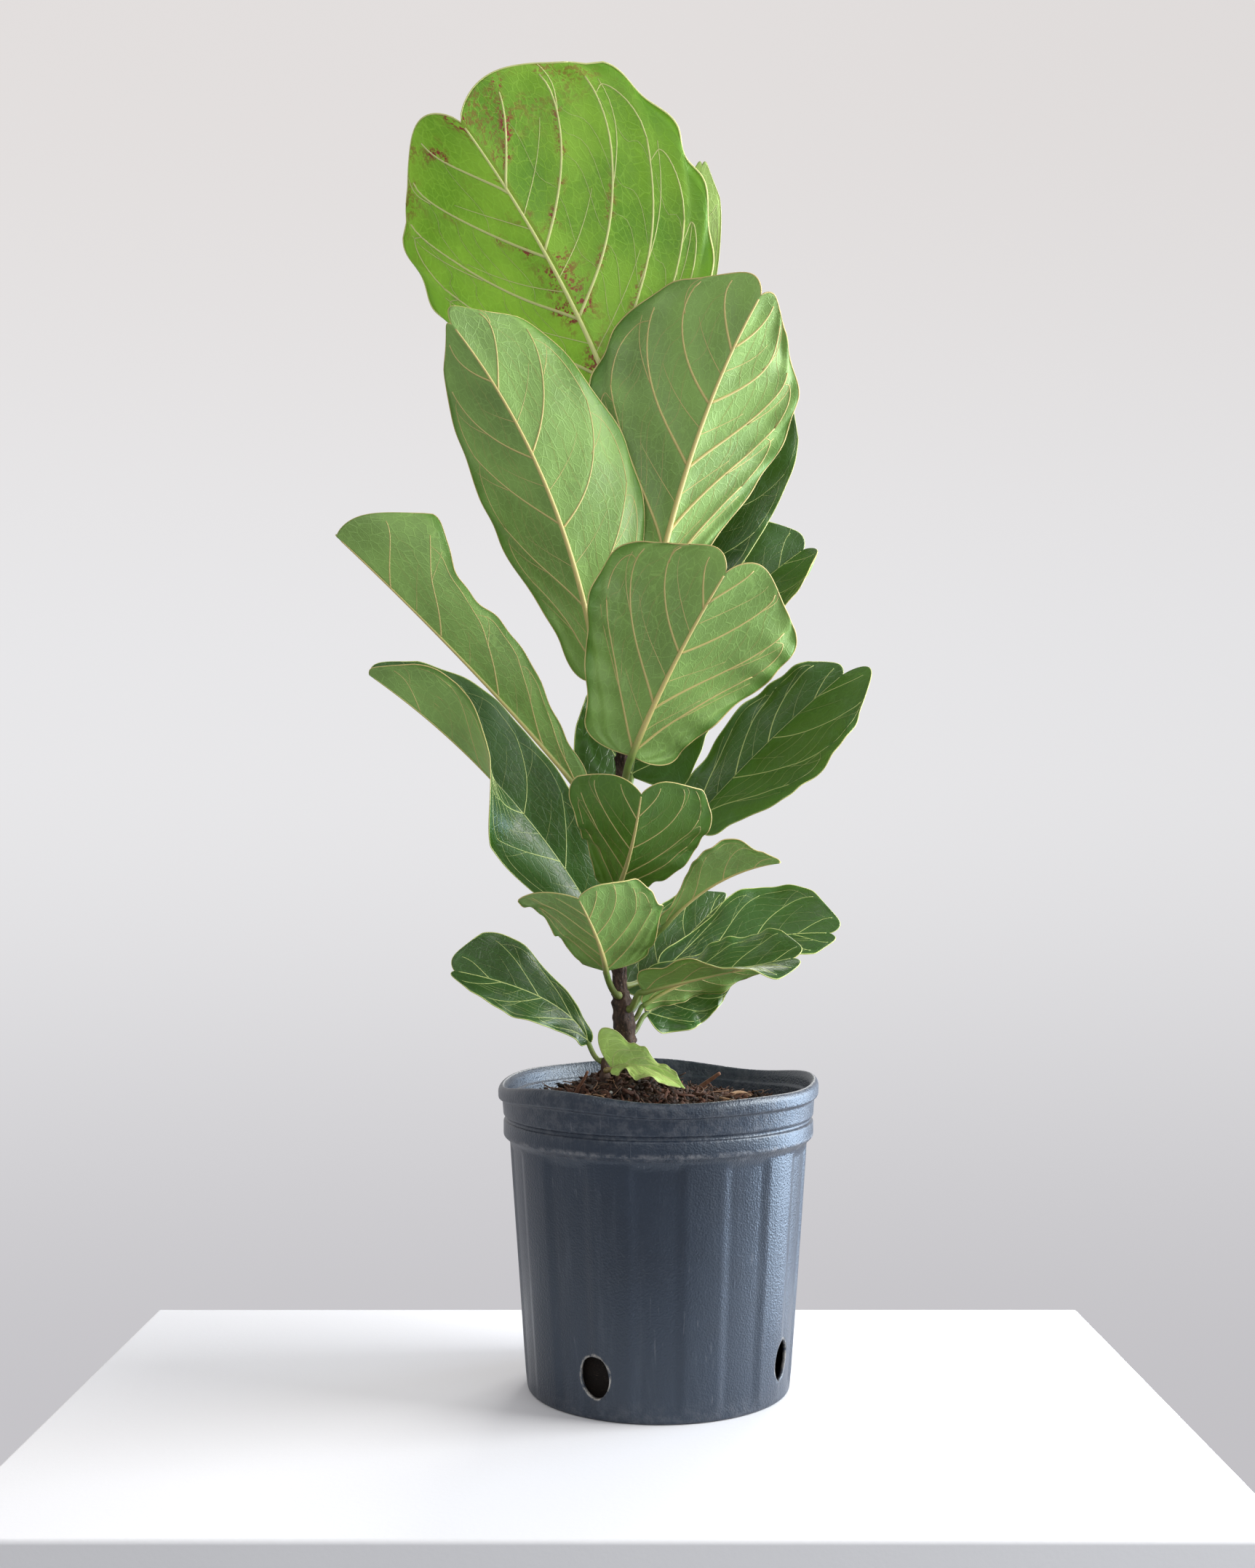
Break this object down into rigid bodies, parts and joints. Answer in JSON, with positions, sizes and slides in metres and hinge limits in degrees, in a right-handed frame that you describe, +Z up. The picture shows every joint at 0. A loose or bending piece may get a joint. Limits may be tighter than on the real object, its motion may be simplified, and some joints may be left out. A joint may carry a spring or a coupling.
{
  "type": "potted fiddle leaf fig",
  "caption": "Young fiddle leaf fig with broad ruffled leaves on one woody stem, growing in a ribbed round nursery pot filled with potting mix.",
  "frame": {"origin": "centre of the pot's flat base, on the surface that the pot stands on", "axes": "+Z up along the pot's axis, +X to the right and +Y away from a viewer at the front"},
  "size_m": [0.3806, 0.2429, 0.952],
  "materials": {
    "pot_plastic": "satin",
    "potting_mix": "matte",
    "stem_bark": "matte",
    "leaf_green": "satin",
    "young_leaf": "satin"
  },
  "bodies": {
    "root": {"nursery_pot": "pot_plastic", "potting_mix": "potting_mix", "main_stem": "stem_bark", "side_shoot": "stem_bark", "leaf_crown": "leaf_green", "leaf_young": "young_leaf", "leaf_upper_left": "leaf_green", "leaf_upper_right": "leaf_green", "leaf_upper_back": "leaf_green", "leaf_back_right": "leaf_green", "leaf_centre": "leaf_green", "leaf_outer_left": "leaf_green", "leaf_trough_left": "leaf_green", "leaf_centre_back": "leaf_green", "leaf_outer_right": "leaf_green", "leaf_front": "leaf_green", "leaf_lower_front": "leaf_green", "leaf_slim_right": "leaf_green", "leaf_low_back_right": "leaf_green", "leaf_low_back": "leaf_green", "leaf_curled_right": "leaf_green", "leaf_low_right": "leaf_green", "leaf_lowest_right": "leaf_green", "leaf_low_left": "leaf_green", "leaf_sprout": "young_leaf"}
  },
  "joints": []
}
